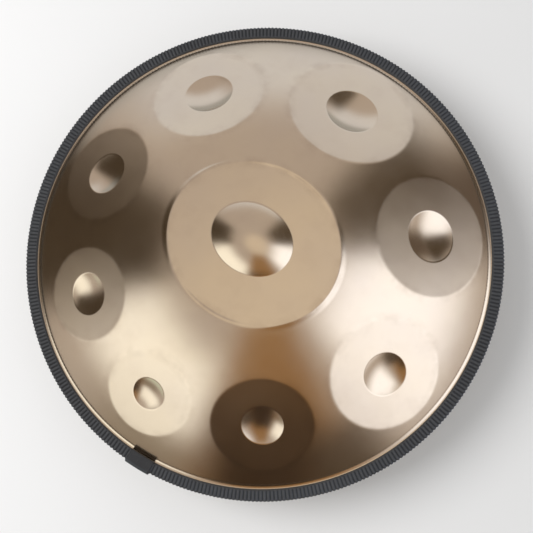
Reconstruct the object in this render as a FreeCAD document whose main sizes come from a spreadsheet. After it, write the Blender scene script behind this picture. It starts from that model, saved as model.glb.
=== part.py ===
"""Handpan: two pressed steel shells bonded at their rims, with a rubber edge trim around them.

Millimetres, +Z up. The origin is on the instrument's axis at its base, the flat ring around the port
that it stands on. -Y is the side that faces the player, where the largest tone field is.
"""
import FreeCAD, Part
import math
import os

import Sketcher
from FreeCAD import Vector

DOC = FreeCAD.newDocument("handpan")

# ---------------------------------------------------------------- sizes

SIZES = {
    # rim and shells
    "wall_foot": 263.4,         # radius where the side wall's line meets the flange
    "flange_width": 10.6,
    "wall_angle": 42.0,         # side wall, degrees from level
    "wall_height": 2.6,         # from the flange up to the line of the dome
    "crown_height": 87.0,       # from the middle of the rim to the top of the unflattened dome
    "shoulder_radius": 10.0,
    "foot_radius": 7.0,
    "sheet": 1.2,
    "bond": 0.6,                # adhesive between the flanges
    "bond_margin": 1.0,         # the adhesive stops this far from the flanges' edges
    # ding, the note in the middle of the top shell
    "ding_long": 97.9,          # the flat ring's half length, along X
    "ding_short": 84.4,
    "dome_long": 46.2,
    "dome_short": 37.8,
    "dome_rise": 10.5,
    "dome_shift_x": 3.1,
    "dome_shift_y": -2.4,
    # base and port of the bottom shell
    "base_radius": 74.0,        # outer edge of the flat ring that the instrument stands on
    "port_radius": 50.0,
    "port_round": 6.0,
    "neck_length": 30.0,
    # edge trim, its steel core and its sleeve
    "trim_web": 6.0,            # rubber outside the flanges' edge
    "trim_leg": 2.6,            # rubber above and below the flanges
    "trim_cover": 7.0,          # how far each leg reaches in over the flange
    "trim_corner": 2.8,
    "trim_gap": 0.6,            # butt joint between the strip's ends
    "lip_reach": 0.9,
    "lip_height": 1.2,
    "core_thick": 0.6,
    "core_depth": 0.8,          # rubber between the core and the flanges
    "core_setback": 1.5,        # rubber over the ends of the core's legs
    "slot_width": 2.0,
    "slot_margin": 1.5,         # steel left between a slot and the core's web
    "sleeve_wall": 2.0,
    "sleeve_length": 31.0,
    "sleeve_azimuth": 95.1,
    # all tone fields
    "dimple_slope": 22.0,       # a dimple's slope at its edge, degrees
}

# Each tone field's azimuth, its outer edge's distance inside the shoulder, its radius and its
# dimple's radius, largest field first.
TONE_FIELDS = {
    "first": (270.2, 3.3, 73.1, 30.2),
    "second": (218.2, 5.5, 68.5, 28.7),
    "third": (321.8, 9.6, 65.8, 28.7),
    "fourth": (169.9, 7.6, 62.4, 24.5),
    "fifth": (7.4, 11.8, 58.4, 24.8),
    "sixth": (126.9, 16.2, 55.9, 23.0),
    "seventh": (49.4, 15.4, 53.7, 23.5),
    "eighth": (88.3, 15.7, 50.3, 19.1),
}
TONE_VALUES = ("azimuth", "margin", "radius", "dimple")

CORE_SLOTS = 72
CUT_HEIGHT = 40.0       # height of the tools that cut flats, more than any flat's depth
FLAT_SPARE = 3.0        # how far a flat's tool reaches past the flat's edge
CAP_LATITUDE = 30.0     # the ding's dome is an ellipsoid's cap, down to this latitude


def inner_corner():
    """Formulas for the corner of the space inside, where its wall's line meets its dome."""
    below = "(flange_top - crown_height + crown_radius)"
    lean = "(1 / tan(wall_angle * 1deg))"
    half = f"({below} - {lean} * inner_foot)"
    rest = f"(inner_foot ^ 2 + {below} ^ 2 - inner_radius ^ 2)"
    height = f"(sqrt({half} ^ 2 - (1 + {lean} ^ 2) * {rest}) - {half}) / (1 + {lean} ^ 2)"
    return f"inner_foot - ({height}) * {lean}", height


DERIVED = {
    "flange_top": "bond / 2 + sheet",
    "rim_radius": "wall_foot + flange_width",
    "shoulder_reach": "wall_foot - wall_height / tan(wall_angle * 1deg)",
    "dome_depth": "crown_height - flange_top - wall_height",
    "crown_radius": "(shoulder_reach ^ 2 + dome_depth ^ 2) / (2 * dome_depth)",
    "base_centre": "sqrt(crown_radius ^ 2 - base_radius ^ 2)",
    "rim_height": "crown_height - crown_radius + base_centre",
    "crown_centre": "rim_height + crown_height - crown_radius",
    "ding_drop": "ding_long * ding_short / (2 * crown_radius)",
    "ding_level": "rim_height + crown_height - ding_drop",
    "inner_radius": "crown_radius - sheet",
    "inner_base": "sqrt(inner_radius ^ 2 - (base_centre - sheet) ^ 2)",
    "inner_foot": "wall_foot - sheet / sin(wall_angle * 1deg)",
    "inner_mouth": "inner_foot + flange_top / tan(wall_angle * 1deg)",
    "inner_reach": inner_corner()[0],
    "inner_height": inner_corner()[1],
    "dome_mean": "sqrt(dome_long * dome_short)",
    "dome_curve": "(dome_mean ^ 2 + dome_rise ^ 2) / (2 * dome_rise)",
    "dome_centre": "ding_level + dome_rise - dome_curve",
    "trim_half": "flange_top + trim_leg",
    "trim_radius": "rim_radius + trim_web",
    "leg_radius": "rim_radius - trim_cover",
    "lip_radius": "leg_radius - lip_reach",
    "core_level": "flange_top + core_depth",
    "core_radius": "rim_radius + core_depth",
    "core_end": "leg_radius + core_setback",
    "hook_radius": "leg_radius - sleeve_wall",
    "hook_level": "flange_top + lip_height",
    "strip_turn": "360 - trim_gap / trim_radius * 180 / pi",
    "sleeve_turn": "sleeve_length / trim_radius * 180 / pi",
}


def make_sheet():
    """The spreadsheet: plain numbers for the driving sizes, formulas for what follows from them."""
    sheet = DOC.addObject("Spreadsheet::Sheet", "Sizes")
    cells = {alias: str(number) for alias, number in SIZES.items()}
    for field, numbers in TONE_FIELDS.items():
        cells.update({f"{field}_{kind}": str(number) for kind, number in zip(TONE_VALUES, numbers)})
    cells.update({alias: f"={text}" for alias, text in DERIVED.items()})
    for row, (alias, content) in enumerate(cells.items(), start=1):
        sheet.set(f"A{row}", alias)
        sheet.set(f"B{row}", content)
        sheet.setAlias(f"B{row}", alias)
    DOC.recompute()
    return sheet, set(cells)


SHEET, ALIASES = make_sheet()


def formula(text):
    """The text with each alias written the way other objects refer to the sheet."""
    words = []
    word = ""
    for letter in text + " ":
        if letter.isalnum() or letter == "_":
            word += letter
        else:
            words.append(f"Sizes.{word}" if word in ALIASES else word)
            words.append(letter)
            word = ""
    return "".join(words).strip()


def bind(thing, **properties):
    for name, text in properties.items():
        thing.setExpression(name, formula(text))


def size(text):
    """The number that a formula gives now."""
    result = SHEET.evalExpression(formula(text))
    return float(getattr(result, "Value", result))


# ---------------------------------------------------------------- sketches and bodies

def place_corner(sketch, point, across, up):
    """Dimension a sketch point from the origin, or put it on an axis where its size is nought."""
    for kind, axis, text in (("DistanceX", -2, across), ("DistanceY", -1, up)):
        if text == "0":
            sketch.addConstraint(Sketcher.Constraint("PointOnObject", *point, axis))
        else:
            row = sketch.addConstraint(Sketcher.Constraint(kind, -1, 1, *point, size(text)))
            sketch.setExpression(f"Constraints[{row}]", formula(text))


def arc_between(start, end, centre):
    """The shorter arc between two points, and which of its ends is at start and at end."""
    radius = start.distanceToPoint(centre)
    angles = [math.atan2(point.y - centre.y, point.x - centre.x) for point in (start, end)]
    circle = Part.Circle(centre, Vector(0, 0, 1), radius)
    ends = (1, 2) if angles[0] < angles[1] else (2, 1)
    return Part.ArcOfCircle(circle, min(angles), max(angles)), ends


def half_section(body, name, corners, plane="XZ_Plane", arc=None):
    """A closed sketch through corners given as pairs of formulas.

    arc is (number of the corner that it starts from, height of its centre on the axis, radius).
    """
    sketch = body.newObject("Sketcher::SketchObject", name)
    role = next(part for part in body.Origin.OriginFeatures if part.Role == plane)
    sketch.AttachmentSupport = [(role, "")]
    sketch.MapMode = "FlatFace"
    points = [Vector(size(across), size(up), 0) for across, up in corners]
    ends = []
    for number, start in enumerate(points):
        end = points[(number + 1) % len(points)]
        if arc and number == arc[0]:
            edge, order = arc_between(start, end, Vector(0, size(arc[1]), 0))
        else:
            edge, order = Part.LineSegment(start, end), (1, 2)
        geometry = sketch.addGeometry(edge)
        ends.append([(geometry, order[0]), (geometry, order[1])])
    for number, (start, end) in enumerate(ends):
        follower = ends[(number + 1) % len(ends)][0]
        sketch.addConstraint(Sketcher.Constraint("Coincident", *end, *follower))
    for (start, end), (across, up) in zip(ends, corners):
        place_corner(sketch, start, across, up)
    if arc:
        row = sketch.addConstraint(Sketcher.Constraint("Radius", ends[arc[0]][0][0], size(arc[2])))
        sketch.setExpression(f"Constraints[{row}]", formula(arc[2]))
    return sketch


def turned(kind, body, sketch, turn=None):
    """A revolution or groove of a sketch about the instrument's axis, whole or of a given turn."""
    feature = body.newObject(f"PartDesign::{kind}", f"{sketch.Name}_{kind.lower()}")
    feature.Profile = sketch
    feature.ReferenceAxis = (sketch, ["V_Axis"])
    feature.Angle = 360.0
    if turn:
        feature.Midplane = True
        bind(feature, Angle=turn)
    sketch.Visibility = False
    DOC.recompute()
    return feature


def circle_edges(shape, corners):
    """Names of the round edges about the axis at the given radii and heights."""
    names = []
    for number, edge in enumerate(shape.Edges, start=1):
        if edge.Degenerated or edge.Curve.TypeId != "Part::GeomCircle":
            continue
        for across, up in corners:
            flat = abs(edge.Curve.Radius - size(across)) < 1e-3
            level = abs(edge.Curve.Center.z - size(up)) < 1e-3
            if flat and level:
                names.append(f"Edge{number}")
    return names


def rounded(body, radius, corners):
    """Fillet a body's round edges that run through the given corners of its section."""
    base = body.Tip
    fillet = body.newObject("PartDesign::Fillet", f"{body.Name}_round")
    fillet.Base = (base, circle_edges(base.Shape, corners))
    bind(fillet, Radius=radius)
    DOC.recompute()
    return fillet


def new_body(name):
    body = DOC.addObject("PartDesign::Body", name)
    body.Label = name
    return body


# ---------------------------------------------------------------- primitives and booleans

def solid(kind, name, **sizes):
    """A Part primitive with its sizes bound to formulas."""
    thing = DOC.addObject(f"Part::{kind}", name)
    bind(thing, **sizes)
    return thing


def joined(name, pieces):
    fusion = DOC.addObject("Part::MultiFuse", name)
    fusion.Shapes = pieces
    return fusion


def cut(name, base, tool):
    result = DOC.addObject("Part::Cut", name)
    result.Base = base
    result.Tool = tool
    return result


# ---------------------------------------------------------------- top shell

def dome_body(name, inset):
    """The plain top dome as a filled solid: its outside, or the space inside it."""
    body = new_body(name)
    if inset:
        corners = [
            ("0", "rim_height"),
            ("inner_mouth", "rim_height"),
            ("inner_reach", "rim_height + flange_top + inner_height"),
            ("0", "rim_height + crown_height - sheet"),
        ]
        arc = (2, "crown_centre", "inner_radius")
        sketch = half_section(body, f"{name}_section", corners, arc=arc)
        turned("Revolution", body, sketch)
        rounded(body, "shoulder_radius - sheet", corners[2:3])
        return body
    corners = [
        ("0", "rim_height + bond / 2"),
        ("rim_radius", "rim_height + bond / 2"),
        ("rim_radius", "rim_height + flange_top"),
        ("wall_foot", "rim_height + flange_top"),
        ("shoulder_reach", "rim_height + flange_top + wall_height"),
        ("0", "rim_height + crown_height"),
    ]
    arc = (4, "crown_centre", "crown_radius")
    sketch = half_section(body, f"{name}_section", corners, arc=arc)
    turned("Revolution", body, sketch)
    rounded(body, "shoulder_radius", corners[4:5])
    rounded(body, "foot_radius", corners[3:4])
    return body


def on_dome(thing, field, distance):
    """Stand a tool on a tone field's normal, at a distance from the dome's centre of curvature."""
    edge = f"asin((shoulder_reach - {field}_margin) / crown_radius)"
    slope = f"({edge} - asin({field}_radius / crown_radius))"
    turn = f"{field}_azimuth * 1deg"
    across = f"({distance}) * sin({slope})"
    bind(thing, Placement=(
        f"placement(vector({across} * cos({turn}); {across} * sin({turn}); "
        f"crown_centre + ({distance}) * cos({slope})); "
        f"rotation({field}_azimuth; {slope} / 1deg; 0))"
    ))


def tone_field_tools(field, side, inset):
    """The flat's tool and the dimple's tool, for the outside or for the space inside."""
    plane = f"sqrt(crown_radius ^ 2 - {field}_radius ^ 2)"
    depth = f"({field}_dimple * tan(dimple_slope * 0.5deg))"
    sphere = f"({field}_dimple / sin(dimple_slope * 1deg))"
    flat = solid("Cylinder", f"{field}_{side}_flat", Radius=f"{field}_radius + {FLAT_SPARE}")
    flat.Height = CUT_HEIGHT
    on_dome(flat, field, f"{plane} - {inset}")
    dimple = solid("Sphere", f"{field}_{side}_dimple", Radius=f"{sphere} + {inset}")
    on_dome(dimple, field, f"{plane} - {depth} + {sphere}")
    return [flat, dimple]


def ellipse_block(name, grow, low, high):
    """An upright elliptical block with the ding's outline, grown or shrunk."""
    outline = solid(
        "Ellipse", f"{name}_outline",
        MajorRadius=f"ding_long + {grow}",
        MinorRadius=f"ding_short + {grow}",
    )
    bind(outline, **{"Placement.Base.z": low})
    block = DOC.addObject("Part::Extrusion", name)
    block.Base = outline
    block.DirMode = "Custom"
    block.Dir = Vector(0, 0, 1)
    block.Solid = True
    bind(block, LengthFwd=f"{high} - ({low})")
    return block


def ding_dome(name, inset):
    dome = solid(
        "Ellipsoid", name,
        Radius1=f"dome_curve - {inset}",
        Radius2=f"dome_curve * dome_long / dome_mean - {inset}",
        Radius3=f"dome_curve * dome_short / dome_mean - {inset}",
    )
    dome.Angle1 = CAP_LATITUDE
    bind(dome, **{
        "Placement.Base.x": "dome_shift_x",
        "Placement.Base.y": "dome_shift_y",
        "Placement.Base.z": "dome_centre",
    })
    return dome


def tuned_dome(side, inset, shrink, grow):
    """The dome with its ding and tone fields: its outside, or the space inside it."""
    level = f"ding_level - {inset}"
    plain = dome_body(f"{side}_dome", inset != "0")
    raised = ellipse_block(f"{side}_ding_rise", shrink, f"{level} - dome_rise", level)
    sunk = ellipse_block(f"{side}_ding_cut", grow, level, f"{level} + dome_rise")
    tools = [sunk]
    for field in TONE_FIELDS:
        tools += tone_field_tools(field, side, inset)
    flattened = cut(f"{side}_flattened", joined(f"{side}_raised", [plain, raised]),
                    joined(f"{side}_tools", tools))
    return joined(f"{side}_form", [flattened, ding_dome(f"{side}_ding_dome", inset)])


def top_shell():
    outside = tuned_dome("outer", "0", "0", "0")
    inside = tuned_dome("inner", "sheet", "-sheet", "sheet")
    return cut("top_shell", outside, inside)


# ---------------------------------------------------------------- bottom shell

def bottom_shell():
    """The bowl that the instrument stands on, with its port and the port's inward neck."""
    body = new_body("bottom_shell")
    outside = [
        ("port_radius", "rim_height - bond / 2"),
        ("rim_radius", "rim_height - bond / 2"),
        ("rim_radius", "rim_height - flange_top"),
        ("wall_foot", "rim_height - flange_top"),
        ("shoulder_reach", "rim_height - flange_top - wall_height"),
        ("base_radius", "0"),
        ("port_radius", "0"),
    ]
    arc = (4, "base_centre", "crown_radius")
    turned("Revolution", body, half_section(body, "bowl_section", outside, arc=arc))
    inside = [
        ("port_radius + sheet", "rim_height"),
        ("inner_mouth", "rim_height"),
        ("inner_reach", "rim_height - flange_top - inner_height"),
        ("inner_base", "sheet"),
        ("port_radius + sheet", "sheet"),
    ]
    arc = (2, "base_centre", "inner_radius")
    turned("Groove", body, half_section(body, "space_section", inside, arc=arc))
    above_neck = [
        ("0", "neck_length"),
        ("port_radius + 2 * sheet", "neck_length"),
        ("port_radius + 2 * sheet", "rim_height"),
        ("0", "rim_height"),
    ]
    turned("Groove", body, half_section(body, "mouth_section", above_neck))
    rounded(body, "shoulder_radius", outside[4:5])
    rounded(body, "foot_radius", outside[3:4])
    rounded(body, "shoulder_radius - sheet", inside[2:3])
    rounded(body, "port_round", outside[6:7])
    rounded(body, "port_round - sheet", inside[4:5])
    return body


# ---------------------------------------------------------------- rim

def rim_adhesive():
    """The bead of adhesive, squeezed flat between the flanges."""
    body = new_body("rim_adhesive")
    inner = "inner_mouth + bond_margin"
    outer = "rim_radius - bond_margin"
    corners = [
        (inner, "rim_height - bond / 2"),
        (outer, "rim_height - bond / 2"),
        (outer, "rim_height + bond / 2"),
        (inner, "rim_height + bond / 2"),
    ]
    turned("Revolution", body, half_section(body, "bead_section", corners))
    return body


def channel(inner, outer, half, wall_inner, wall_half):
    """Corners of a U section, open towards the axis, about the middle of the rim."""
    return [
        (inner, f"rim_height + {half}"),
        (outer, f"rim_height + {half}"),
        (outer, f"rim_height - ({half})"),
        (inner, f"rim_height - ({half})"),
        (inner, f"rim_height - ({wall_half})"),
        (wall_inner, f"rim_height - ({wall_half})"),
        (wall_inner, f"rim_height + {wall_half}"),
        (inner, f"rim_height + {wall_half}"),
    ]


CORE_SECTION = channel(
    "core_end", "core_radius + core_thick", "core_level + core_thick", "core_radius", "core_level",
)


def turn_body(body, angle):
    bind(body, Placement=f"placement(vector(0; 0; 0); rotation({angle}; 0; 0))")


def edge_trim():
    """The rubber strip around both flanges, moulded around its core, with its ends at the sleeve."""
    body = new_body("edge_trim")
    corners = channel("leg_radius", "trim_radius", "trim_half", "rim_radius", "flange_top")
    turned("Revolution", body, half_section(body, "trim_section", corners), "strip_turn")
    for name, sign in (("upper", "+"), ("lower", "-")):
        near = f"rim_height {sign} flange_top"
        far = f"rim_height {sign} (flange_top + lip_height)"
        lip = [("leg_radius", near), ("lip_radius", near), ("lip_radius", far), ("leg_radius", far)]
        turned("Revolution", body, half_section(body, f"{name}_lip_section", lip), "strip_turn")
    rounded(body, "trim_corner", corners[1:3])
    turned("Groove", body, half_section(body, "core_space", CORE_SECTION), "strip_turn")
    turn_body(body, "sleeve_azimuth + 180")
    return body


def edge_trim_core():
    """The spring steel strip inside the trim, slotted across both legs so that it bends round."""
    body = new_body("edge_trim_core")
    turned("Revolution", body, half_section(body, "core_section", CORE_SECTION), "strip_turn")
    half = "slot_width / 2"
    near = "core_end - slot_margin"
    far = "core_radius - slot_margin"
    slot = half_section(body, "slot_outline", [(near, "0"), (far, "0"), (far, half), (near, half)],
                        plane="XY_Plane")
    pocket = body.newObject("PartDesign::Pocket", "slot")
    pocket.Profile = slot
    pocket.Type = "ThroughAll"
    pocket.Midplane = True
    DOC.recompute()
    pattern = body.newObject("PartDesign::PolarPattern", "slots")
    pattern.Originals = [pocket]
    pattern.Axis = (slot, ["N_Axis"])
    pattern.Angle = 360.0
    pattern.Occurrences = CORE_SLOTS
    body.Tip = pattern
    turn_body(body, "sleeve_azimuth + 180")
    return body


def trim_sleeve():
    """The smooth sleeve that hides the strip's butt joint, hooked over the ends of its legs."""
    body = new_body("trim_sleeve")
    outer = "trim_radius + sleeve_wall"
    top = "(trim_half + sleeve_wall)"
    corners = [
        ("hook_radius", "rim_height + hook_level"),
        ("hook_radius", f"rim_height + {top}"),
        (outer, f"rim_height + {top}"),
        (outer, f"rim_height - {top}"),
        ("hook_radius", f"rim_height - {top}"),
        ("hook_radius", "rim_height - hook_level"),
        ("leg_radius", "rim_height - hook_level"),
        ("leg_radius", "rim_height - trim_half"),
        ("trim_radius", "rim_height - trim_half"),
        ("trim_radius", "rim_height + trim_half"),
        ("leg_radius", "rim_height + trim_half"),
        ("leg_radius", "rim_height + hook_level"),
    ]
    turned("Revolution", body, half_section(body, "sleeve_section", corners), "sleeve_turn")
    rounded(body, "trim_corner + sleeve_wall", corners[2:4])
    rounded(body, "trim_corner", corners[8:10])
    turn_body(body, "sleeve_azimuth")
    return body


# ---------------------------------------------------------------- checks and export

def check(parts):
    """Stop if a feature failed or a part isn't a valid solid."""
    DOC.recompute()
    for thing in DOC.Objects:
        bad = [state for state in thing.State if state in ("Invalid", "Error")]
        if bad:
            raise RuntimeError(f"{thing.Name}: {bad}")
    for part in parts:
        shape = part.Shape
        if shape.isNull() or not shape.isValid() or not shape.Solids:
            raise RuntimeError(f"{part.Label}: no valid solid")


def main():
    makers = (top_shell, bottom_shell, rim_adhesive, edge_trim, edge_trim_core, trim_sleeve)
    parts = [maker() for maker in makers]
    check(parts)
    os.makedirs("parts", exist_ok=True)
    for part in parts:
        part.Shape.exportStep(f"parts/{part.Label}.step")
        box = part.Shape.BoundBox
        print(f"{part.Label}: {len(part.Shape.Solids)} solid, z {box.ZMin:.1f} to {box.ZMax:.1f}")


main()
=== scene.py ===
"""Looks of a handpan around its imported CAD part: shells, ribbed edge trim, finishes, studio."""
import math

import bpy
import numpy as np
from mathutils import Matrix, Vector
from mathutils.geometry import delaunay_2d_cdt


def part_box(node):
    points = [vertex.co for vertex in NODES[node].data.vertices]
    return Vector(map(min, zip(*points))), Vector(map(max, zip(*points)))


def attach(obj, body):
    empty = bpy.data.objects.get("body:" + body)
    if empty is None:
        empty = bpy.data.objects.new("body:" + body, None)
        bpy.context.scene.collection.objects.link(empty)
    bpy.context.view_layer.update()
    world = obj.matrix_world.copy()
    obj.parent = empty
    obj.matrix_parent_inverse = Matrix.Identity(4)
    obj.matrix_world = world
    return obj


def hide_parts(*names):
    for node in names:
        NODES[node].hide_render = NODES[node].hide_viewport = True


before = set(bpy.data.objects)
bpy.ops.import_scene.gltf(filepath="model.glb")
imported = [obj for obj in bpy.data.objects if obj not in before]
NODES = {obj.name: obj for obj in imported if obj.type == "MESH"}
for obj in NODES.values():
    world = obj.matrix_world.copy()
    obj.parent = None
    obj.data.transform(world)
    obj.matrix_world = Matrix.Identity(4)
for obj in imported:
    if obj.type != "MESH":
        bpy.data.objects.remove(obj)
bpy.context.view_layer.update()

MM = 0.001

# ---------------------------------------------------------------- sizes in millimetres
# They are the part's own, but for the foot's cone: the part's has WALL_ANGLE 42 degrees and WALL 2.6.

FOOT = 263.4            # where the side wall's line meets the flange
FLANGE = 10.6
WALL_ANGLE = math.radians(37.0)
WALL = 2.18
CROWN = 87.0
SHOULDER_ROUND = 10.0
FOOT_ROUND = 7.0
SHEET = 1.2
BOND = 0.6
DING = (97.9, 84.4)
DOME = (46.2, 37.8)
DOME_RISE = 10.5
DOME_SHIFT = (3.1, -2.4)
BASE = 74.0
PORT = 50.0
PORT_ROUND = 6.0
NECK = 30.0
TRIM_WEB = 6.0
TRIM_LEG = 2.6
TRIM_COVER = 7.0
TRIM_CORNER = 2.8
TRIM_GAP = 0.6
LIP = (0.9, 1.2)
SLEEVE_WALL = 2.0
SLEEVE_LENGTH = 31.0
SLEEVE_AZIMUTH = math.radians(95.1)
DIMPLE_SLOPE = math.radians(22.0)
# azimuth, distance of the outer edge inside the shoulder, radius, dimple's radius
TONE_FIELDS = (
    (270.2, 3.3, 73.1, 30.2),
    (218.2, 5.5, 68.5, 28.7),
    (321.8, 9.6, 65.8, 28.7),
    (169.9, 7.6, 62.4, 24.5),
    (7.4, 11.8, 58.4, 24.8),
    (126.9, 16.2, 55.9, 23.0),
    (49.4, 15.4, 53.7, 23.5),
    (88.3, 15.7, 50.3, 19.1),
)

FLANGE_TOP = BOND / 2 + SHEET
RIM = FOOT + FLANGE
REACH = FOOT - WALL / math.tan(WALL_ANGLE)
DOME_DEPTH = CROWN - FLANGE_TOP - WALL
CURVE = (REACH ** 2 + DOME_DEPTH ** 2) / (2 * DOME_DEPTH)
CENTRE = CROWN - CURVE              # the dome's centre of curvature, from the rim's middle
LEVEL = CROWN - DING[0] * DING[1] / (2 * CURVE)

trim_low, trim_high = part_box("edge_trim")
RIM_HEIGHT = (trim_low.z + trim_high.z) / 2 / MM
PHOTO_TURN = math.radians(214.9)    # azimuth of the camera's own right-hand side

# soft edges, half widths in height
CREASE = 0.24
DIMPLE_EDGE = 0.22
DING_EDGE = 0.25
NO_EDGE = 99.0          # stands for a vertex that is far from any worked edge
RIM_POINTS = 480        # vertices in each ring at the rim of the top shell


# ---------------------------------------------------------------- mesh helpers

def new_piece(name, points, faces, material, smooth=True):
    """A mesh from points in millimetres about the rim's middle, riding on the part."""
    mesh = bpy.data.meshes.new(name)
    moved = (np.asarray(points, float) + (0.0, 0.0, RIM_HEIGHT)) * MM
    mesh.from_pydata(moved.tolist(), [], faces)
    mesh.validate()
    mesh.polygons.foreach_set("use_smooth", [smooth] * len(mesh.polygons))
    mesh.materials.append(material)
    mesh.update()
    piece = bpy.data.objects.new(name, mesh)
    bpy.context.scene.collection.objects.link(piece)
    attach(piece, "root")
    return piece


def soft_min(a, b, width):
    """The smaller of a and b, rounded where they are within width of each other."""
    near = np.clip(width - np.abs(a - b), 0.0, None)
    return np.minimum(a, b) - near ** 2 / (4 * width)


def arc(centre, radius, start, end, steps):
    """Points of an arc in a section, angles from the axis's direction towards the outside."""
    angles = np.linspace(start, end, steps)
    return np.stack([centre[0] + radius * np.sin(angles), centre[1] + radius * np.cos(angles)], 1)


def dome_section():
    """The outside of a half shell from its pole to the flange's edge, closely spaced."""
    out = np.array([math.sin(WALL_ANGLE), math.cos(WALL_ANGLE)])
    rise = np.array([-math.cos(WALL_ANGLE), math.sin(WALL_ANGLE)])
    foot = np.array([FOOT, FLANGE_TOP])
    base = foot - SHOULDER_ROUND * out - (0.0, CENTRE)
    half = base @ rise
    rest = base @ base - (CURVE - SHOULDER_ROUND) ** 2
    shoulder = foot - SHOULDER_ROUND * out + rise * (math.sqrt(half ** 2 - rest) - half)
    angle = math.atan2(shoulder[0], shoulder[1] - CENTRE)
    lift = (FOOT_ROUND - FOOT_ROUND * out[1]) / rise[1]
    heel = foot + FOOT_ROUND * out + rise * lift
    return np.vstack([
        arc((0.0, CENTRE), CURVE, 0.0, angle, 3000),
        arc(shoulder, SHOULDER_ROUND, angle, WALL_ANGLE, 60)[1:],
        arc(heel, -FOOT_ROUND, WALL_ANGLE, 0.0, 40),
        np.array([[RIM, FLANGE_TOP]]),
    ]), CURVE * angle


def lengths(line):
    return np.concatenate([[0.0], np.cumsum(np.hypot(*np.diff(line, axis=0).T))])


def sampled(line, marks):
    run = lengths(line)
    return np.stack([np.interp(marks, run, line[:, 0]), np.interp(marks, run, line[:, 1])], -1)


def offset_line(line, distance):
    """The line moved to its right-hand side."""
    along = np.gradient(line, axis=0)
    along /= np.hypot(along[:, 0], along[:, 1])[:, None]
    return line + distance * np.stack([along[:, 1], -along[:, 0]], 1)


def round_corners(corners, steps=6):
    """A closed section from corners given as (radius from the axis, height, rounding)."""
    line = []
    count = len(corners)
    for number, (across, up, radius) in enumerate(corners):
        here = np.array([across, up])
        if radius <= 0:
            line.append(here)
            continue
        before = np.array(corners[number - 1][:2]) - here
        after = np.array(corners[(number + 1) % count][:2]) - here
        before /= np.hypot(*before)
        after /= np.hypot(*after)
        half = math.acos(float(np.clip(before @ after, -1, 1))) / 2
        middle = (before + after) / np.hypot(*(before + after))
        centre = here + middle * radius / math.sin(half)
        first = here + before * radius / math.tan(half) - centre
        last = here + after * radius / math.tan(half) - centre
        for share in np.linspace(0, 1, steps):
            ray = first * (1 - share) + last * share
            line.append(centre + ray * radius / np.hypot(*ray))
    return np.array(line)


def turned(sections, angles, closed_turn, closed_section=True, capped=False):
    """Points and faces of sections (one for each angle) set around the axis."""
    count = sections.shape[1]
    points = np.stack([
        sections[..., 0] * np.cos(angles)[:, None],
        sections[..., 0] * np.sin(angles)[:, None],
        sections[..., 1],
    ], -1).reshape(-1, 3)
    turns = np.arange(len(angles) if closed_turn else len(angles) - 1)
    steps = np.arange(count if closed_section else count - 1)
    turn, step = np.meshgrid(turns, steps, indexing="ij")
    after = (turn + 1) % len(angles)
    beside = (step + 1) % count
    faces = np.stack([
        turn * count + step, after * count + step, after * count + beside, turn * count + beside,
    ], -1).reshape(-1, 4).tolist()
    if capped:
        last = (len(angles) - 1) * count
        faces.append(list(range(count)))
        faces.append([last + number for number in reversed(range(count))])
    return points, faces


# ---------------------------------------------------------------- top shell

SECTION, DOME_RUN = dome_section()
RUN = lengths(SECTION)
HEEL_RUN, FLANGE_RUN = RUN[-41], RUN[-2]


def tone_axes():
    """Each tone field's direction from the dome's centre, its plane's distance, and its radii."""
    fields = []
    for azimuth, margin, radius, dimple in TONE_FIELDS:
        slope = math.asin((REACH - margin) / CURVE) - math.asin(radius / CURVE)
        turn = math.radians(azimuth)
        level = math.sin(slope)
        axis = np.array([level * math.cos(turn), level * math.sin(turn), math.cos(slope)])
        fields.append((axis, math.sqrt(CURVE ** 2 - radius ** 2), radius, dimple))
    return fields


FIELDS = tone_axes()


def flat_map(run, turn):
    """Where a point at a run from the pole goes in the plane in which the shell is triangulated."""
    reach = 2 * CURVE * np.tan(run / CURVE / 2)
    return np.stack([reach * np.cos(turn), reach * np.sin(turn)], -1)


def ring_marks(edge, dimple, coarse):
    """Radii of the rings about a tone field, close together at the dimple's edge and the crease."""
    inner = np.arange(2.0, dimple - 1.6, 2.2 * coarse)
    rim = dimple + np.array([-1.6, -1.0, -0.6, -0.3, 0.0, 0.3, 0.6, 1.0, 1.8])
    middle = np.arange(dimple + 4.0, edge - 5.0, 3.6 * coarse)
    crease = edge + np.array([-5.0, -3.6, -2.6, -1.8, -1.0, 0.0, 1.0, 1.8, 2.8, 4.2, 6.0])
    if coarse > 1:
        rim = dimple + np.array([-1.2, 0.0, 1.2])
        crease = edge + np.array([-4.0, 0.0, 4.0])
    return np.concatenate([inner, rim, middle, crease])


def ring(count, phase):
    return (np.arange(count) + phase) / count * 2 * math.pi


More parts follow.
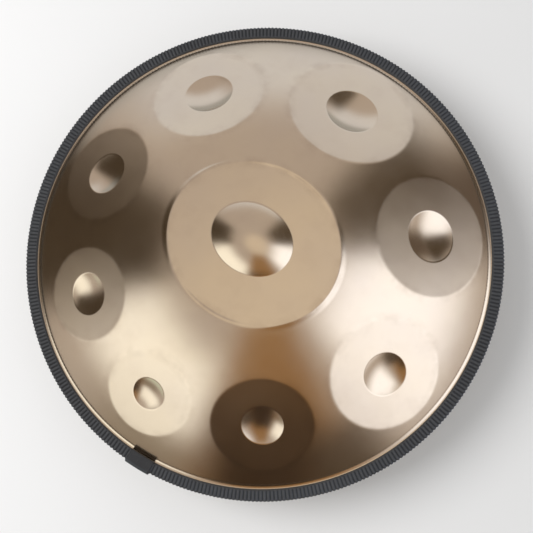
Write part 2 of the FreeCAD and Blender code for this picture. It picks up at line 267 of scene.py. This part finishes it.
def shell_layout(coarse):
    """Runs and turns of the points from which the top shell is made."""
    spots = []
    last_soft = DOME_RUN - 0.7
    for axis, _, radius, dimple in FIELDS:
        side = np.cross((0.0, 0.0, 1.0), axis)
        side /= np.linalg.norm(side)
        up = np.cross(axis, side)
        placed = [axis[None, :]]
        for number, mark in enumerate(ring_marks(radius, dimple, coarse)):
            bend = math.asin(mark / CURVE)
            fine = 1.7 if abs(mark - dimple) < 3 else 2.6
            turns = ring(max(8, round(2 * math.pi * mark / (fine * coarse))), 0.5 * (number % 2))
            placed.append(
                math.cos(bend) * axis
                + math.sin(bend) * (np.cos(turns)[:, None] * side + np.sin(turns)[:, None] * up)
            )
        placed = np.vstack(placed)
        runs = CURVE * np.arccos(np.clip(placed[:, 2], -1, 1))
        turns = np.arctan2(placed[:, 1], placed[:, 0])
        keep = runs < last_soft
        spots.append(np.stack([runs[keep], turns[keep]], 1))
    spots.append(ding_layout(coarse))
    step = 3.4 * coarse
    plain = [[0.0, 0.0]]
    for number, run in enumerate(np.arange(step, DOME_RUN - 1.0, step)):
        turns = ring(max(6, round(2 * math.pi * run / (step * 1.1))), 0.5 * (number % 2))
        plain += [[run, turn] for turn in turns]
    bend = WALL_ANGLE - DOME_RUN / CURVE
    shoulder = np.linspace(DOME_RUN, DOME_RUN + SHOULDER_ROUND * bend, 9 if coarse == 1 else 4)
    rings = list(shoulder[:-1])
    for run in rings:
        plain += [[run, turn] for turn in ring(RIM_POINTS, 0.0)]
    plain = clear_of_features(np.array(plain), coarse)
    end = RUN[-1]
    outer = list(np.linspace(shoulder[-1], HEEL_RUN, 7 if coarse == 1 else 4))[:-1]
    outer += list(np.linspace(HEEL_RUN, FLANGE_RUN, 10 if coarse == 1 else 4))
    outer += [FLANGE_RUN + 2.5, end]
    edge = [[run, turn] for run in outer for turn in ring(RIM_POINTS, 0.0)]
    return np.vstack(spots + [plain, np.array(edge)])


def on_ellipse(number, count, half, centre=(0.0, 0.0)):
    turns = ring(count, 0.5 * (number % 2))
    return np.stack([centre[0] + half[0] * np.cos(turns), centre[1] + half[1] * np.sin(turns)], 1)


def ding_layout(coarse):
    """Rings from the ding's middle over its dome to outside its flat ring."""
    flat = [np.array([DOME_SHIFT])]
    small = math.sqrt(DOME[0] * DOME[1])
    shares = np.concatenate([np.arange(2.0, small - 1.8, 2.4 * coarse) / small,
                             1 + np.array([-1.4, -0.8, -0.4, 0.0, 0.4, 0.8, 1.6]) / small])
    if coarse > 1:
        shares = np.concatenate([np.arange(2.0, small - 1.8, 5.0) / small, [1.0]])
    for number, share in enumerate(shares):
        count = max(8, round(2 * math.pi * small * share / (1.9 * coarse)))
        flat.append(on_ellipse(number, count, (DOME[0] * share, DOME[1] * share), DOME_SHIFT))
    gaps = np.concatenate([np.arange(0.1, 0.92, 0.075 * coarse), [0.94, 0.965, 0.985, 1.0]])
    for number, share in enumerate(gaps):
        half = [DOME[k] * (1 - share) + DING[k] * share for k in (0, 1)]
        centre = [DOME_SHIFT[k] * (1 - share) for k in (0, 1)]
        flat.append(on_ellipse(number, round(2 * math.pi * half[0] / (2.6 * coarse)), half, centre))
    for number, grow in enumerate((0.8, 1.8, 3.0, 4.6, 6.6)):
        count = round(2 * math.pi * 95 / (2.8 * coarse))
        flat.append(on_ellipse(number, count, (DING[0] + grow, DING[1] + grow)))
    flat = np.vstack(flat)
    reach = np.hypot(flat[:, 0], flat[:, 1])
    return np.stack([CURVE * np.arcsin(reach / CURVE), np.arctan2(flat[:, 1], flat[:, 0])], 1)


def clear_of_features(spots, coarse):
    """The spots that no ring of a tone field or of the ding is near."""
    bend = spots[:, 0] / CURVE
    level, turn = np.sin(bend), spots[:, 1]
    ray = np.stack([level * np.cos(turn), level * np.sin(turn), np.cos(bend)], 1)
    keep = np.ones(len(spots), bool)
    for axis, _, radius, _ in FIELDS:
        keep &= np.arccos(np.clip(ray @ axis, -1, 1)) * CURVE > radius + 7.0 + coarse
    across = CURVE * ray[:, :2]
    keep &= np.hypot(across[:, 0] / (DING[0] + 8.5), across[:, 1] / (DING[1] + 8.5)) > 1
    return spots[keep]


def shell_shape(spots):
    """Where each spot lies on the finished top shell, and how near it is to a worked edge."""
    section = sampled(SECTION, spots[:, 0])
    reach, turn = section[:, 0], spots[:, 1]
    points = np.stack([reach * np.cos(turn), reach * np.sin(turn), section[:, 1]], 1)
    points[:, 2] -= CENTRE
    edge = np.full(len(points), NO_EDGE)
    # the ding's flat ring
    share = np.hypot(points[:, 0] / DING[0], points[:, 1] / DING[1])
    beyond = (share - 1) * np.sqrt(DING[0] * DING[1])
    blend = np.clip((beyond + 1.0) / 5.0, 0, 1)
    blend = blend * blend * (3 - 2 * blend)
    level = LEVEL - CENTRE
    points[:, 2] = np.where(beyond < 5, level * (1 - blend) + points[:, 2] * blend, points[:, 2])
    edge = np.minimum(edge, np.abs(beyond))
    # the ding's dome
    mean = math.sqrt(DOME[0] * DOME[1])
    curve = (mean ** 2 + DOME_RISE ** 2) / (2 * DOME_RISE)
    aside = [(points[:, k] - DOME_SHIFT[k]) * mean / DOME[k] for k in (0, 1)]
    out = aside[0] ** 2 + aside[1] ** 2
    cap = DOME_RISE - curve + np.sqrt(np.clip(curve ** 2 - out, 0, None))
    points[:, 2] += np.where(out < (mean + 8) ** 2, -soft_min(-cap, np.zeros(len(cap)), DING_EDGE), 0.0)
    # the tone fields
    for axis, distance, radius, dimple in FIELDS:
        height = points @ axis - distance
        aside = np.linalg.norm(points - (points @ axis)[:, None] * axis, axis=1)
        near = (aside < radius + 12) & (height > -8)
        slope = math.asin(radius / CURVE)
        lowered = soft_min(height, np.zeros(len(height)), CREASE * slope / 0.156)
        ball = dimple / math.sin(DIMPLE_SLOPE)
        sink = ball * math.cos(DIMPLE_SLOPE) - np.sqrt(np.clip(ball ** 2 - aside ** 2, 0, None))
        sink = soft_min(sink, np.zeros(len(sink)), DIMPLE_EDGE)
        change = np.where(near, lowered - height + sink, 0.0)
        points += change[:, None] * axis
        edge = np.where(near, np.minimum(edge, np.abs(aside - radius)), edge)
    points[:, 2] += CENTRE
    return points, edge


def triangles(spots):
    plane = flat_map(spots[:, 0], spots[:, 1])
    result = delaunay_2d_cdt([Vector(p) for p in plane.tolist()], [], [], 0, 1e-4)
    kept = np.array([result[3][k][0] for k in range(len(result[0]))])
    return kept, np.array([list(face) for face in result[2]])


def vertex_normals(points, faces):
    corners = points[faces]
    flat = np.cross(corners[:, 1] - corners[:, 0], corners[:, 2] - corners[:, 0])
    total = np.zeros_like(points)
    for k in range(3):
        np.add.at(total, faces[:, k], flat)
    return total / np.linalg.norm(total, axis=1)[:, None]


def shell_side(coarse):
    spots = shell_layout(coarse)
    kept, faces = triangles(spots)
    spots = spots[kept]
    points, edge = shell_shape(spots)
    normals = vertex_normals(points, faces)
    if normals[:, 2].sum() < 0:
        faces = faces[:, ::-1]
        normals = -normals
    return spots, points, edge, faces, normals


def top_shell(material):
    spots, points, edge, faces, _ = shell_side(1.0)
    spots_in, points_in, _, faces_in, normals_in = shell_side(2.4)
    # the flange's underside is level, so its vertices go straight down
    flange = spots_in[:, 0] > FLANGE_RUN - 1e-6
    normals_in[flange] = (0.0, 0.0, 1.0)
    points_in = points_in - SHEET * normals_in
    first = len(points)

    def border(layout):
        last = np.where(layout[:, 0] > RUN[-1] - 1e-6)[0]
        return last[np.argsort(np.mod(layout[last, 1] + 1e-6, 2 * math.pi))]

    above, below = border(spots), border(spots_in)
    wall = []
    for k in range(len(above)):
        after = (k + 1) % len(above)
        lower = [int(below[k]) + first, int(below[after]) + first]
        wall.append([int(above[k]), *lower, int(above[after])])
    everything = faces.tolist() + (faces_in[:, ::-1] + first).tolist() + wall
    piece = new_piece("top_shell_pressed", np.vstack([points, points_in]), everything, material)
    near = piece.data.attributes.new("worked_edge", "FLOAT", "POINT")
    values = np.concatenate([edge, np.full(len(points_in), NO_EDGE)])
    near.data.foreach_set("value", values.astype(np.float32))
    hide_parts("top_shell")
    return piece


# ---------------------------------------------------------------- bottom shell

def bottom_shell(material):
    """The bowl, from the mouth of the port's neck round to the flange's edge and back inside."""
    base = -RIM_HEIGHT
    around_base = np.linspace(BASE - 12, BASE + 12, 13)
    marks = np.concatenate([around_base, np.linspace(BASE + 16, REACH - 6, 60)])
    bowl = -CENTRE - np.sqrt(CURVE ** 2 - marks ** 2)
    bowl = -soft_min(-bowl, np.full(len(marks), -base), 0.5)
    bowl = np.stack([marks, bowl], 1)
    shoulder = SECTION[(SECTION[:, 0] > REACH - 4) & (RUN < FLANGE_RUN + 1e-6)]
    picks = np.unique(np.round(np.linspace(0, len(shoulder) - 1, 44)).astype(int))
    shoulder = shoulder[picks] * (1, -1)
    mouth = arc((PORT + PORT_ROUND, base + PORT_ROUND), -PORT_ROUND, math.pi / 2, 0.0, 9)
    neck = np.stack([np.full(5, PORT), base + np.linspace(NECK - 0.6, PORT_ROUND + 2, 5)], 1)
    outside = np.vstack([neck, mouth, bowl, shoulder, [[RIM, -FLANGE_TOP]]])
    inside = offset_line(outside, -SHEET)
    inside[-1] = (RIM, -BOND / 2)
    top = base + NECK
    tip = np.array([[PORT + SHEET, top - 0.6], [PORT + SHEET - 0.25, top], [PORT + 0.25, top]])
    inside[0] = tip[0]
    loop = np.vstack([outside, inside[::-1], tip[1:]])
    angles = ring(360, 0.0)
    points, faces = turned(np.repeat(loop[None], len(angles), 0), angles, True)
    piece = new_piece("bottom_shell_pressed", points, faces, material)
    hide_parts("bottom_shell")
    return piece


# ---------------------------------------------------------------- rim

RIBS = 400
# where a rib's vertices are along its pitch, and how far each is pressed in
RIB_STEPS = (0.0, 0.13, 0.32, 0.5, 0.68, 0.87)
RIB_DEPTH = (0.95, 0.75, 0.12, 0.0, 0.12, 0.75)


def trim_section():
    """The strip's closed section, and how far its ribs reach at each point of it."""
    leg = RIM - TRIM_COVER
    lip = leg - LIP[0]
    half = FLANGE_TOP + TRIM_LEG
    outer = RIM + TRIM_WEB
    above = FLANGE_TOP + LIP[1]
    corners = [
        (RIM, FLANGE_TOP, 0), (lip, FLANGE_TOP, 0.3), (lip, above, 0.5), (leg, above, 0.4),
        (leg, half, 1.3), (outer, half, TRIM_CORNER), (outer, -half, TRIM_CORNER), (leg, -half, 1.3),
        (leg, -above, 0.4), (lip, -above, 0.5), (lip, -FLANGE_TOP, 0.3), (RIM, -FLANGE_TOP, 0),
    ]
    line = round_corners(corners, 5)
    out = np.clip((np.abs(line[:, 1]) - (above + 0.6)) / 0.9, 0, 1)
    out = np.maximum(out, np.clip((line[:, 0] - (outer - 3.0)) / 1.5, 0, 1))
    return line, out


def edge_trim(material):
    """The ribbed strip, open by its butt joint's gap under the sleeve."""
    line, ribbed = trim_section()
    inward = line - line.mean(0)
    along = np.roll(line, -1, 0) - np.roll(line, 1, 0)
    along /= np.hypot(along[:, 0], along[:, 1])[:, None]
    side = np.stack([-along[:, 1], along[:, 0]], 1)
    if (side * inward).sum() > 0:
        side = -side
    outer = RIM + TRIM_WEB
    gap = TRIM_GAP / outer
    phases = np.array([number + step for number in range(RIBS) for step in RIB_STEPS] + [RIBS])
    depths = np.array(list(RIB_DEPTH) * RIBS + [RIB_DEPTH[0]])
    angles = SLEEVE_AZIMUTH + gap / 2 + phases / RIBS * (2 * math.pi - gap)
    sections = line[None] + depths[:, None, None] * ribbed[None, :, None] * side[None]
    points, faces = turned(sections, angles, False, capped=True)
    piece = new_piece("edge_trim_ribbed", points, faces, material)
    # painted shade: each vertex's height on its rib is stored so the rubber can paint the grooves
    # between the ribs near black
    painted_rib_shade = piece.data.attributes.new("painted_rib_shade", "FLOAT", "POINT")
    heights = 1 - depths[:, None] / max(RIB_DEPTH) * ribbed[None, :]
    painted_rib_shade.data.foreach_set("value", heights.ravel().astype(np.float32))
    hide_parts("edge_trim")
    return piece


def trim_sleeve(material):
    """The smooth sleeve, hooked over the strip's legs and thinner towards its rounded ends."""
    outer = RIM + TRIM_WEB
    half = FLANGE_TOP + TRIM_LEG
    leg = RIM - TRIM_COVER
    hook = FLANGE_TOP + LIP[1]
    ends = (0.0, 0.003, 0.01, 0.025, 0.06)
    lost = (1.1, 0.6, 0.25, 0.06, 0.0)
    shares = [*ends, 0.2, 0.35, 0.5, 0.65, 0.8, *(1 - share for share in reversed(ends))]
    sections = []
    for less in [*lost, 0, 0, 0, 0, 0, *reversed(lost)]:
        wall = SLEEVE_WALL - less
        corner = min(1.4, 0.7 * wall)
        upper = [
            (leg, half, 0), (leg, hook, 0), (leg - wall, hook, 0.3), (leg - wall, half + wall, corner),
            (outer + wall, half + wall, TRIM_CORNER + wall),
        ]
        lower = [(across, -up, radius) for across, up, radius in reversed(upper)]
        inner = [(outer, -half, TRIM_CORNER), (outer, half, TRIM_CORNER)]
        sections.append(round_corners([*upper, *lower, *inner], 8))
    angles = SLEEVE_AZIMUTH + SLEEVE_LENGTH / outer * (np.array(shares) - 0.5)
    points, faces = turned(np.array(sections), angles, False, capped=True)
    piece = new_piece("trim_sleeve_moulded", points, faces, material)
    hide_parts("trim_sleeve")
    return piece


# ---------------------------------------------------------------- materials

def tree_of(name):
    material = bpy.data.materials.new(name)
    material.use_nodes = True
    nodes = material.node_tree.nodes
    return material, nodes, material.node_tree.links, nodes["Principled BSDF"]


def add(nodes, kind, inputs=None, **settings):
    node = nodes.new(kind)
    for key, value in settings.items():
        setattr(node, key, value)
    for key, value in (inputs or {}).items():
        node.inputs[key].default_value = value
    return node


def noise(nodes, links, where, scale, detail=3.0, rough=0.5, stretch=None):
    """A noise pattern in object space; stretch lengthens it along X, Y and Z."""
    source = where.outputs["Object"]
    if stretch:
        mapping = add(nodes, "ShaderNodeMapping", {"Scale": stretch})
        links.new(source, mapping.inputs["Vector"])
        source = mapping.outputs["Vector"]
    made = add(nodes, "ShaderNodeTexNoise", {"Scale": scale, "Detail": detail, "Roughness": rough})
    links.new(source, made.inputs["Vector"])
    return made.outputs["Fac"]


def ranged(nodes, links, source, low, high, start=0.3, end=0.7):
    made = add(nodes, "ShaderNodeMapRange",
               {"From Min": start, "From Max": end, "To Min": low, "To Max": high})
    links.new(source, made.inputs["Value"])
    return made.outputs["Result"]


def mixed(nodes, links, factor, first, second, blend="MIX"):
    made = add(nodes, "ShaderNodeMix", data_type="RGBA", blend_type=blend)
    for socket, value in ((made.inputs[0], factor), (made.inputs[6], first), (made.inputs[7], second)):
        if isinstance(value, bpy.types.NodeSocket):
            links.new(value, socket)
        elif isinstance(value, (int, float)):
            socket.default_value = value
        else:
            socket.default_value = (*value, 1.0)
    return made.outputs[2]


def bumped(nodes, links, shader, layers):
    """Bump layers given as (height socket, strength, distance in metres)."""
    below = None
    for height, strength, distance in layers:
        made = add(nodes, "ShaderNodeBump", {"Strength": strength, "Distance": distance})
        links.new(height, made.inputs["Height"])
        if below:
            links.new(below, made.inputs["Normal"])
        below = made.outputs["Normal"]
    links.new(below, shader.inputs["Normal"])


def shell_steel(name, worked):
    """Satin, heat-tinted steel: cloudy colour, patchy roughness, shallow dents, fine grain."""
    material, nodes, links, shader = tree_of(name)
    where = add(nodes, "ShaderNodeTexCoord")
    clouds = ranged(nodes, links, noise(nodes, links, where, 9.0, 3.0, 0.55), 0.0, 1.0)
    colour = mixed(nodes, links, clouds, (0.815, 0.625, 0.415), (0.775, 0.600, 0.420))
    spots = ranged(nodes, links, noise(nodes, links, where, 34.0, 4.0, 0.6), 0.0, 0.35, 0.5, 0.8)
    colour = mixed(nodes, links, spots, colour, (0.70, 0.52, 0.35))
    if worked:
        edge = add(nodes, "ShaderNodeAttribute", attribute_name="worked_edge")
        near = ranged(nodes, links, edge.outputs["Fac"], 1.0, 0.0, 0.0, 9.0)
        patches = ranged(nodes, links, noise(nodes, links, where, 42.0, 4.0, 0.6), 0.0, 0.5, 0.42, 0.7)
        both = add(nodes, "ShaderNodeMath", operation="MULTIPLY")
        links.new(near, both.inputs[0])
        links.new(patches, both.inputs[1])
        colour = mixed(nodes, links, both.outputs[0], colour, (0.56, 0.41, 0.27))
    links.new(colour, shader.inputs["Base Color"])
    shader.inputs["Metallic"].default_value = 1.0
    sheen = noise(nodes, links, where, 16.0, 4.0, 0.6)
    links.new(ranged(nodes, links, sheen, 0.18, 0.23), shader.inputs["Roughness"])
    grain = noise(nodes, links, where, 900.0, 2.0, 0.5)
    dents = noise(nodes, links, where, 26.0, 1.0, 0.4)
    bumped(nodes, links, shader, [(dents, 0.2, 0.0006), (grain, 0.05, 0.00004)])
    return material


def rubber(name, base, rough, worn, ribbed=False):
    """Moulded rubber with a dusty bloom and fine pores; where ribbed, painted shade darkens it down
    between its ribs.
    """
    material, nodes, links, shader = tree_of(name)
    where = add(nodes, "ShaderNodeTexCoord")
    patches = ranged(nodes, links, noise(nodes, links, where, 30.0, 5.0, 0.6), 0.0, 1.0)
    colour = mixed(nodes, links, patches, base, tuple(c * 1.25 for c in base))
    dust = ranged(nodes, links, noise(nodes, links, where, 420.0, 3.0, 0.6), 0.0, worn, 0.52, 0.75)
    colour = mixed(nodes, links, dust, colour, (0.22, 0.21, 0.20))
    if ribbed:
        # painted shade: the colour goes nearly black down in the grooves between the ribs, standing in
        # for the shade that falls there
        painted_rib_shade = add(nodes, "ShaderNodeAttribute", attribute_name="painted_rib_shade")
        height = ranged(nodes, links, painted_rib_shade.outputs["Fac"], 0.0, 1.0, 0.1, 0.9)
        colour = mixed(nodes, links, height, (0.008, 0.008, 0.008), colour)
    links.new(colour, shader.inputs["Base Color"])
    wear = noise(nodes, links, where, 90.0, 4.0, 0.6)
    links.new(ranged(nodes, links, wear, rough - 0.06, rough + 0.08), shader.inputs["Roughness"])
    pores = noise(nodes, links, where, 1500.0, 3.0, 0.6)
    swell = noise(nodes, links, where, 160.0, 2.0, 0.5)
    bumped(nodes, links, shader, [(swell, 0.25, 0.0002), (pores, 0.25, 0.00008)])
    return material


def cured_bond(name):
    """Dark adhesive squeezed out and cured, slightly glossy."""
    material, nodes, links, shader = tree_of(name)
    where = add(nodes, "ShaderNodeTexCoord")
    flow = ranged(nodes, links, noise(nodes, links, where, 60.0, 4.0, 0.6), 0.0, 1.0)
    colour = mixed(nodes, links, flow, (0.03, 0.03, 0.032), (0.06, 0.058, 0.055))
    links.new(colour, shader.inputs["Base Color"])
    links.new(ranged(nodes, links, flow, 0.32, 0.5), shader.inputs["Roughness"])
    ripples = noise(nodes, links, where, 240.0, 3.0, 0.5)
    bumped(nodes, links, shader, [(ripples, 0.4, 0.0003)])
    return material


def spring_steel(name):
    material, nodes, links, shader = tree_of(name)
    where = add(nodes, "ShaderNodeTexCoord")
    stain = ranged(nodes, links, noise(nodes, links, where, 50.0, 4.0, 0.6), 0.0, 1.0)
    colour = mixed(nodes, links, stain, (0.55, 0.55, 0.56), (0.42, 0.40, 0.38))
    links.new(colour, shader.inputs["Base Color"])
    shader.inputs["Metallic"].default_value = 1.0
    links.new(ranged(nodes, links, stain, 0.28, 0.45), shader.inputs["Roughness"])
    rolled = noise(nodes, links, where, 700.0, 3.0, 0.6, (1.0, 1.0, 12.0))
    bumped(nodes, links, shader, [(rolled, 0.2, 0.00008)])
    return material


def dress(node, material):
    """A CAD node that stays gets its finish."""
    body = NODES[node]
    body.data.materials.clear()
    body.data.materials.append(material)


# ---------------------------------------------------------------- studio

def turned_to_photo(azimuth):
    """Azimuth in the part's frame of a direction given from the camera's right-hand side."""
    return math.radians(azimuth) + PHOTO_TURN


VIEW_DISTANCE = 0.850       # metres
VIEW_TILT, VIEW_SIDE = 9.34, -61.8
VIEW_TARGET = (8.3, -14.9)  # millimetres from the axis, to the camera's right and up
FOCAL, FRAME = 728.7, 533   # focal length and frame width in the same unit
SENSOR = 36.0


def camera():
    distance, tilt, side = VIEW_DISTANCE, math.radians(VIEW_TILT), turned_to_photo(VIEW_SIDE)
    back = Vector((math.sin(tilt) * math.cos(side), math.sin(tilt) * math.sin(side), math.cos(tilt)))
    reach = math.hypot(*VIEW_TARGET) * MM
    turn = math.atan2(VIEW_TARGET[1], VIEW_TARGET[0]) + PHOTO_TURN
    target = Vector((reach * math.cos(turn), reach * math.sin(turn), RIM_HEIGHT * MM))
    upward = turned_to_photo(90.0)
    up = Vector((math.cos(upward), math.sin(upward), 0.0))
    up = (up - up.dot(back) * back).normalized()
    right = up.cross(back)
    lens = bpy.data.cameras.new("camera")
    lens.lens = FOCAL / FRAME * SENSOR
    lens.sensor_width = SENSOR
    lens.clip_start, lens.clip_end = 0.01, 50.0
    holder = bpy.data.objects.new("camera", lens)
    bpy.context.scene.collection.objects.link(holder)
    holder.matrix_world = Matrix((
        (right.x, up.x, back.x, target.x + distance * back.x),
        (right.y, up.y, back.y, target.y + distance * back.y),
        (right.z, up.z, back.z, target.z + distance * back.z),
        (0, 0, 0, 1),
    ))
    bpy.context.scene.camera = holder


# The studio around the pan, seen in the steel: each panel has its middle's azimuth from the
# camera's right, its half width, its lowest and highest tilt from overhead, and two edge widths, all in
# degrees, then its linear colour. A later panel lies over the earlier ones.
PANELS = (
    ("pale_horizon", 86, 40, 64, 100, 14, 10, (0.74, 0.84, 1.04)),
    ("far_floor", 100, 58, 94, 150, 10, 5, (0.40, 0.46, 0.54)),
    ("window_right", 342, 30, 22, 72, 11, 12, (1.38, 1.58, 2.02)),
    ("window_left", 216, 29, 38, 71, 8, 9, (1.24, 1.38, 1.54)),
    ("dim_left_low", 232, 20, 70, 90, 12, 7, (0.27, 0.25, 0.23)),
    ("floor_right", 328, 34, 93, 150, 10, 5, (0.95, 1.02, 1.25)),
    ("floor_left", 225, 32, 93, 150, 10, 5, (0.66, 0.80, 0.78)),
    ("dark_left", 163, 21, 34, 150, 7, 9, (0.06, 0.048, 0.036)),
    ("dark_right", 32, 20, 24, 77, 9, 12, (0.08, 0.065, 0.05)),
    ("dark_right_low", 22, 15, 72, 150, 9, 6, (0.12, 0.10, 0.09)),
    ("brown_below", 271, 25, 14, 150, 10, 6, (0.31, 0.19, 0.09)),
    ("dim_below", 291, 14, 60, 92, 9, 9, (0.09, 0.075, 0.065)),
    ("dark_below", 266, 18, 47, 150, 9, 9, (0.045, 0.03, 0.02)),
)
WALLS = (0.50, 0.49, 0.52)
CEILING = (0.72, 0.70, 0.68)


def room_light():
    """A world of soft panels under a plain ceiling for reflections, and an even pale light else."""
    world = bpy.data.worlds.new("studio")
    bpy.context.scene.world = world
    world.use_nodes = True
    nodes, links = world.node_tree.nodes, world.node_tree.links
    nodes.clear()

    def maths(operation, first, second=None):
        made = add(nodes, "ShaderNodeMath", operation=operation)
        for socket, value in zip(made.inputs, (first, second)):
            if isinstance(value, bpy.types.NodeSocket):
                links.new(value, socket)
            elif value is not None:
                socket.default_value = value
        return made.outputs[0]

    def step(value, start, end):
        made = add(nodes, "ShaderNodeMapRange", {"From Min": start, "From Max": end},
                   interpolation_type="SMOOTHSTEP")
        links.new(value, made.inputs["Value"])
        return made.outputs["Result"]

    where = add(nodes, "ShaderNodeTexCoord")
    parts = add(nodes, "ShaderNodeSeparateXYZ")
    links.new(where.outputs["Generated"], parts.inputs[0])
    turn = maths("MULTIPLY", maths("ARCTAN2", parts.outputs["Y"], parts.outputs["X"]), 180 / math.pi)
    tilt = maths("MULTIPLY", maths("ARCCOSINE", parts.outputs["Z"]), 180 / math.pi)
    colour = WALLS
    for _, middle, half, low, high, soft_side, soft_end, shade in PANELS:
        azimuth = math.degrees(turned_to_photo(middle))
        aside = maths("ABSOLUTE", maths("SUBTRACT", maths("FLOORED_MODULO", maths(
            "SUBTRACT", turn, azimuth - 180), 360.0), 180.0))
        across = step(aside, half + soft_side, half - soft_side)
        upper = step(tilt, low - soft_end, low + soft_end)
        lower = step(tilt, high + soft_end, high - soft_end)
        share = maths("MULTIPLY", maths("MULTIPLY", across, upper), lower)
        colour = mixed(nodes, links, share, colour, shade)
    colour = mixed(nodes, links, step(tilt, 21, 9), colour, CEILING)
    room = add(nodes, "ShaderNodeBackground")
    links.new(colour, room.inputs["Color"])
    pale = add(nodes, "ShaderNodeBackground", {"Color": (0.62, 0.62, 0.62, 1)})
    path = add(nodes, "ShaderNodeLightPath")
    chosen = add(nodes, "ShaderNodeMixShader")
    links.new(path.outputs["Is Glossy Ray"], chosen.inputs[0])
    links.new(pale.outputs[0], chosen.inputs[1])
    links.new(room.outputs[0], chosen.inputs[2])
    out = add(nodes, "ShaderNodeOutputWorld")
    links.new(chosen.outputs[0], out.inputs["Surface"])


def softbox(name, azimuth, tilt, distance, size, power, colour):
    """A round area light aimed at the origin, not seen in reflections."""
    light = bpy.data.lights.new(name, "AREA")
    light.shape = "DISK"
    light.size = size
    light.energy = power
    light.color = colour
    holder = bpy.data.objects.new(name, light)
    bpy.context.scene.collection.objects.link(holder)
    turn, lean = turned_to_photo(azimuth), math.radians(tilt)
    away = Vector((math.sin(lean) * math.cos(turn), math.sin(lean) * math.sin(turn), math.cos(lean)))
    holder.location = away * distance
    holder.rotation_mode = "QUATERNION"
    holder.rotation_quaternion = away.to_track_quat("Z", "Y")
    holder.visible_glossy = False
    holder.visible_camera = False


def floor():
    """A plain pale sheet under the pan, not seen in reflections."""
    steps = 24
    marks = np.linspace(-3.0, 3.0, steps + 1)
    points = [(x, y, 0.0) for y in marks for x in marks]
    across = steps + 1
    starts = [row * across + k for row in range(steps) for k in range(steps)]
    faces = [(start, start + 1, start + across + 1, start + across) for start in starts]
    mesh = bpy.data.meshes.new("floor")
    mesh.from_pydata(points, [], faces)
    material, nodes, links, shader = tree_of("floor_paper")
    where = add(nodes, "ShaderNodeTexCoord")
    shade = ranged(nodes, links, noise(nodes, links, where, 2.0, 2.0), 0.0, 1.0)
    colour = mixed(nodes, links, shade, (0.80, 0.80, 0.80), (0.82, 0.82, 0.82))
    links.new(colour, shader.inputs["Base Color"])
    shader.inputs["Roughness"].default_value = 0.9
    shader.inputs["Specular IOR Level"].default_value = 0.1
    mesh.materials.append(material)
    sheet = bpy.data.objects.new("floor", mesh)
    bpy.context.scene.collection.objects.link(sheet)
    sheet.visible_glossy = False


# ---------------------------------------------------------------- scene

top_shell(shell_steel("shell_steel_worked", True))
bottom_shell(shell_steel("shell_steel_plain", False))
edge_trim(rubber("trim_rubber_moulded", (0.042, 0.043, 0.045), 0.5, 0.12, ribbed=True))
trim_sleeve(rubber("sleeve_rubber_smooth", (0.022, 0.022, 0.023), 0.34, 0.05))
dress("rim_adhesive", cured_bond("bond_cured"))
dress("edge_trim_core", spring_steel("spring_steel_rolled"))

camera()
room_light()
softbox("key", 172.0, 38.0, 2.2, 1.4, 30.0, (1.0, 0.99, 0.98))
floor()

scene = bpy.context.scene
scene.view_settings.view_transform = "Standard"
scene.view_settings.look = "None"
